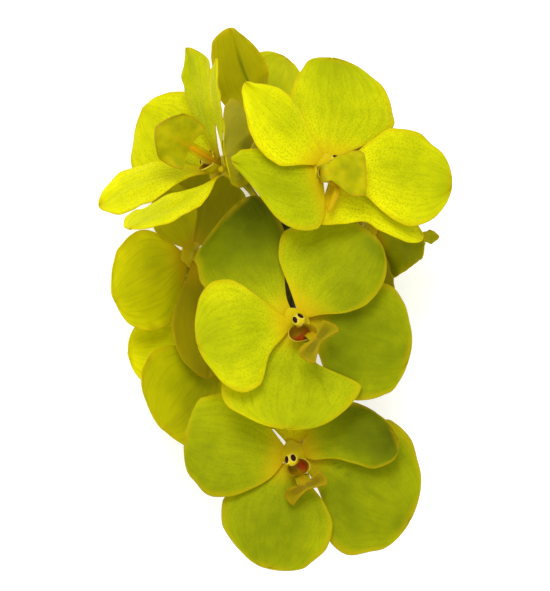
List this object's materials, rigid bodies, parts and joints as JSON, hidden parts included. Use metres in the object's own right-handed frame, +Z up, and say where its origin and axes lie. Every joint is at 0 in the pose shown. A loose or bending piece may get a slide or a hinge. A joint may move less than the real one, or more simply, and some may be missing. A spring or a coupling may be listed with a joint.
{
  "type": "vanda orchid stem",
  "caption": "Cut orchid stem lying on its side, its broad yellow-green blooms crowded round the upper part of the stem on pale stalks.",
  "frame": {"origin": "on the resting surface, under the middle of the whole stem with its blooms", "axes": "+Z up from the surface it lies on, +Y along the stem towards its tip, +X to the right"},
  "size_m": [0.1452, 0.2271, 0.1071],
  "materials": {
    "petals": "waxy, soft sheen",
    "lip": "waxy, soft sheen",
    "stalk_and_column": "smooth, faintly ribbed",
    "stem": "smooth, satin"
  },
  "bodies": {
    "root": {"stem": "stem", "bloom_1_dorsal_sepal": "petals", "bloom_1_petal_left": "petals", "bloom_1_petal_right": "petals", "bloom_1_lateral_sepal_left": "petals", "bloom_1_lateral_sepal_right": "petals", "bloom_1_lip": "lip", "bloom_1_stalk_and_column": "stalk_and_column", "bloom_2_dorsal_sepal": "petals", "bloom_2_petal_left": "petals", "bloom_2_petal_right": "petals", "bloom_2_lateral_sepal_left": "petals", "bloom_2_lateral_sepal_right": "petals", "bloom_2_lip": "lip", "bloom_2_stalk_and_column": "stalk_and_column", "bloom_3_dorsal_sepal": "petals", "bloom_3_petal_left": "petals", "bloom_3_petal_right": "petals", "bloom_3_lateral_sepal_left": "petals", "bloom_3_lateral_sepal_right": "petals", "bloom_3_lip": "lip", "bloom_3_stalk_and_column": "stalk_and_column", "bloom_4_dorsal_sepal": "petals", "bloom_4_petal_left": "petals", "bloom_4_petal_right": "petals", "bloom_4_lateral_sepal_left": "petals", "bloom_4_lateral_sepal_right": "petals", "bloom_4_lip": "lip", "bloom_4_stalk_and_column": "stalk_and_column", "bloom_5_dorsal_sepal": "petals", "bloom_5_petal_left": "petals", "bloom_5_petal_right": "petals", "bloom_5_lateral_sepal_left": "petals", "bloom_5_lateral_sepal_right": "petals", "bloom_5_lip": "lip", "bloom_5_stalk_and_column": "stalk_and_column", "bloom_6_dorsal_sepal": "petals", "bloom_6_petal_left": "petals", "bloom_6_petal_right": "petals", "bloom_6_lateral_sepal_left": "petals", "bloom_6_lateral_sepal_right": "petals", "bloom_6_lip": "lip", "bloom_6_stalk_and_column": "stalk_and_column", "bloom_7_dorsal_sepal": "petals", "bloom_7_petal_left": "petals", "bloom_7_petal_right": "petals", "bloom_7_lateral_sepal_left": "petals", "bloom_7_lateral_sepal_right": "petals", "bloom_7_lip": "lip", "bloom_7_stalk_and_column": "stalk_and_column", "bloom_8_dorsal_sepal": "petals", "bloom_8_petal_left": "petals", "bloom_8_petal_right": "petals", "bloom_8_lateral_sepal_left": "petals", "bloom_8_lateral_sepal_right": "petals", "bloom_8_lip": "lip", "bloom_8_stalk_and_column": "stalk_and_column"}
  },
  "joints": []
}
